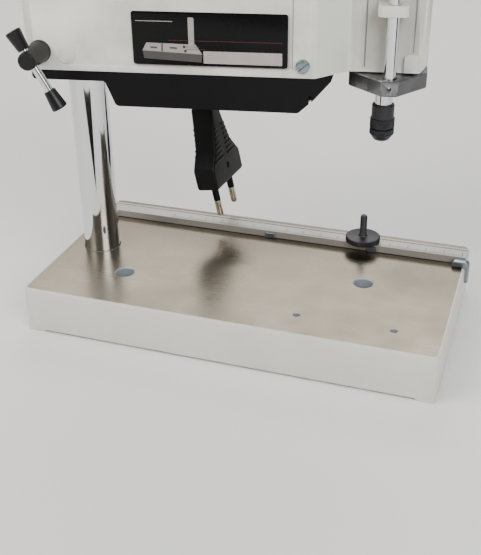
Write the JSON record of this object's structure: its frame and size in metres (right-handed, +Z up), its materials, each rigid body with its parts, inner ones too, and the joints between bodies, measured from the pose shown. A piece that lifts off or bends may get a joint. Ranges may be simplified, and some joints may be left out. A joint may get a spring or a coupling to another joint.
{
  "type": "drill press",
  "caption": "Small precision bench drill press with a ground table, chromed column, belt-driven head, rack-fed quill, depth stop, ruled fence and mains lead.",
  "frame": {"origin": "on the column's axis, at the level of the bench, under the boss that holds the column", "axes": "+Z up along the column, +X from the column towards the spindle end, +Y away from the operator's left side"},
  "size_m": [0.2396, 0.1356, 0.2883],
  "materials": {
    "enamel": "smooth off-white stove enamel, semi gloss",
    "column_chrome": "hard chrome, mirror polished",
    "ground_steel": "bright ground steel",
    "dark_steel": "blackened milled steel",
    "aluminium": "extruded and turned aluminium, natural",
    "copper": "lacquered copper winding",
    "brass": "turned brass",
    "nickel": "nickel-plated brass contact pins",
    "black_plastic": "moulded black plastic, fine texture",
    "black_oxide": "black-oxidised steel, knurled",
    "rubber": "soft black cable sheath and belt rubber",
    "label": "gloss black plate with plain grey lines"
  },
  "bodies": {
    "base": {"table_casting": "enamel", "column_grub_screw": "ground_steel"},
    "column": {"column": "column_chrome", "column_cap": "black_plastic"},
    "head": {"head_casting": "enamel", "bottom_tray": "black_plastic", "rear_hood": "enamel", "hinge_pin": "ground_steel", "label_plate": "label", "side_screw_1": "ground_steel", "side_screw_2": "ground_steel", "switch_body": "black_plastic", "cable_gland": "rubber", "motor_can": "dark_steel", "motor_end_plate": "aluminium", "motor_stator": "ground_steel", "motor_bearing_lower": "ground_steel", "motor_bearing_upper": "ground_steel", "pulley_bearing": "ground_steel", "drive_belt": "rubber", "return_spring": "ground_steel", "spring_cover": "ground_steel", "cord_lead": "rubber", "cord_coil": "rubber", "cord_drop": "rubber", "plug_body": "rubber", "plug_pin_1": "nickel", "plug_pin_2": "nickel"},
    "belt_cover": {"belt_cover": "enamel"},
    "rocker": {"switch_rocker": "black_plastic"},
    "motor_rotor": {"motor_shaft": "ground_steel", "motor_rotor": "copper", "motor_pulley": "aluminium"},
    "spindle_pulley": {"spindle_pulley": "aluminium"},
    "quill": {"quill": "ground_steel", "quill_bearing_lower": "ground_steel", "quill_bearing_upper": "ground_steel", "quill_yoke": "dark_steel", "stop_rod": "column_chrome"},
    "stop_nuts": {"stop_nut_1": "brass", "stop_nut_2": "brass"},
    "spindle": {"spindle": "column_chrome", "chuck_body": "black_oxide", "collet": "ground_steel"},
    "chuck_nut": {"chuck_nut": "black_oxide"},
    "feed": {"feed_pinion_shaft": "ground_steel", "feed_hub": "black_plastic", "feed_arm_1": "black_plastic", "feed_arm_2": "black_plastic", "feed_arm_3": "black_plastic"},
    "clamp": {"clamp_hub": "black_plastic", "clamp_stud": "ground_steel"},
    "clamp_bar": {"clamp_bar": "ground_steel", "clamp_grip_lower": "black_plastic", "clamp_grip_upper": "black_plastic"},
    "fence": {"fence_rail": "aluminium", "fence_clip_right": "ground_steel", "fence_clip_left": "ground_steel"},
    "thumb_screw": {"fence_thumb_screw": "black_oxide"}
  },
  "joints": [
    {"name": "head_swivel", "type": "hinge", "parent": "base", "child": "column", "pos_m": [0, 0, 0.026], "axis": [0, 0, 1], "range_deg": [-90, 80]},
    {"name": "head_height", "type": "slide", "parent": "column", "child": "head", "axis": [0, 0, 1], "range_m": [-0.002, 0.045]},
    {"name": "belt_cover_hinge", "type": "hinge", "parent": "head", "child": "belt_cover", "pos_m": [0.04226, 0.00707, 0.2378], "axis": [0.165, -0.9863, 0], "range_deg": [0, 95]},
    {"name": "switch_rocker", "type": "hinge", "parent": "head", "child": "rocker", "pos_m": [0.09006, 0.04346, 0.165], "axis": [0, 0, 1], "range_deg": [0, 6.5]},
    {"name": "motor_spin", "type": "hinge", "parent": "head", "child": "motor_rotor", "pos_m": [0.06707, 0.01122, 0.15], "axis": [0, 0, 1], "continuous": true},
    {"name": "pulley_spin", "type": "hinge", "parent": "head", "child": "spindle_pulley", "pos_m": [0.15238, 0.0255, 0.2], "axis": [0, 0, 1], "continuous": true},
    {"name": "quill_feed", "type": "slide", "parent": "head", "child": "quill", "axis": [0, 0, -1], "range_m": [0, 0.03], "stiffness_N_per_m": 120, "springref_m": -0.12},
    {"name": "stop_nuts_lift", "type": "slide", "parent": "quill", "child": "stop_nuts", "axis": [0, 0, 1], "range_m": [0, 0.003]},
    {"name": "spindle_spin", "type": "hinge", "parent": "quill", "child": "spindle", "pos_m": [0.15238, 0.0255, 0.12], "axis": [0, 0, 1], "continuous": true},
    {"name": "chuck_nut_turn", "type": "hinge", "parent": "spindle", "child": "chuck_nut", "pos_m": [0.15238, 0.0255, 0.1], "axis": [0, 0, 1], "continuous": true},
    {"name": "feed_turn", "type": "hinge", "parent": "head", "child": "feed", "pos_m": [0.13655, 0.02285, 0.15], "axis": [-0.165, 0.9863, 0], "range_deg": [0, 286.5]},
    {"name": "clamp_turn", "type": "hinge", "parent": "head", "child": "clamp", "pos_m": [-0.005, -0.04646, 0.1465], "axis": [-0.165, 0.9863, 0], "range_deg": [-60, 60]},
    {"name": "clamp_bar_slide", "type": "slide", "parent": "clamp", "child": "clamp_bar", "axis": [-0.463, -0.0775, 0.8829], "range_m": [0, 0.0118]},
    {"name": "fence_slide", "type": "slide", "parent": "base", "child": "fence", "axis": [0, 1, 0], "range_m": [-0.024, 0.01]},
    {"name": "thumb_screw_lift", "type": "slide", "parent": "fence", "child": "thumb_screw", "axis": [0, 0, 1], "range_m": [0, 0.012]}
  ],
  "couplings": [
    {"joint": "pulley_spin", "follows": "motor_spin", "ratio": 0.66667},
    {"joint": "spindle_spin", "follows": "motor_spin", "ratio": 0.66667},
    {"joint": "feed_turn", "follows": "quill_feed", "rad_per_m": 166.67}
  ]
}
